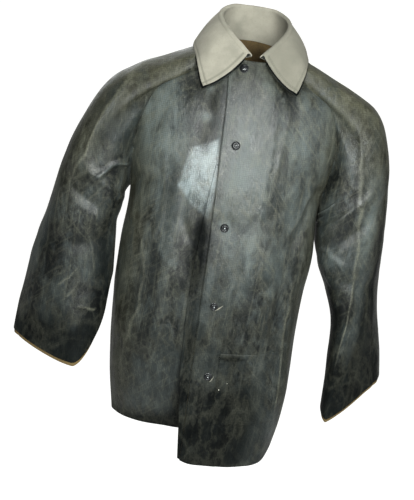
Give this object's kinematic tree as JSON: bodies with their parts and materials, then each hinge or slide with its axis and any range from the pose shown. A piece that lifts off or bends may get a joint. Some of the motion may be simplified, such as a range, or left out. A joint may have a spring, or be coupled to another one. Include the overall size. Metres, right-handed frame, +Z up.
{
  "type": "rubber work jacket",
  "caption": "Rubber-coated canvas work jacket, worn form, with raglan sleeves, a snapped overlapping front, a pale canvas collar and canvas-faced cuffs.",
  "frame": {"origin": "middle of the neck base, where the jacket sits on the wearer's shoulders", "axes": "+Z up along the body, -Y out of the wearer's front, +X towards the wearer's left"},
  "size_m": [0.8053, 0.2685, 0.8952],
  "materials": {
    "rubber": "worn satin, marbled with pale cracks and tan creases",
    "collar_rubber": "dark satin",
    "collar_canvas": "matte, soiled, stitched near its edge",
    "cuff_canvas": "matte, raw edge",
    "snap_metal": "dark japanned, worn bright at the centre"
  },
  "bodies": {
    "root": {"front_left": "rubber", "front_right": "rubber", "back": "rubber", "storm_fly": "rubber", "sleeve_right": "rubber", "sleeve_left": "rubber", "hip_pocket": "rubber", "collar_under": "collar_rubber", "collar_top": "collar_canvas", "cuff_facing_right": "cuff_canvas", "cuff_facing_left": "cuff_canvas", "snap_1": "snap_metal", "snap_2": "snap_metal", "snap_3": "snap_metal", "snap_4": "snap_metal", "snap_5": "snap_metal"}
  },
  "joints": []
}
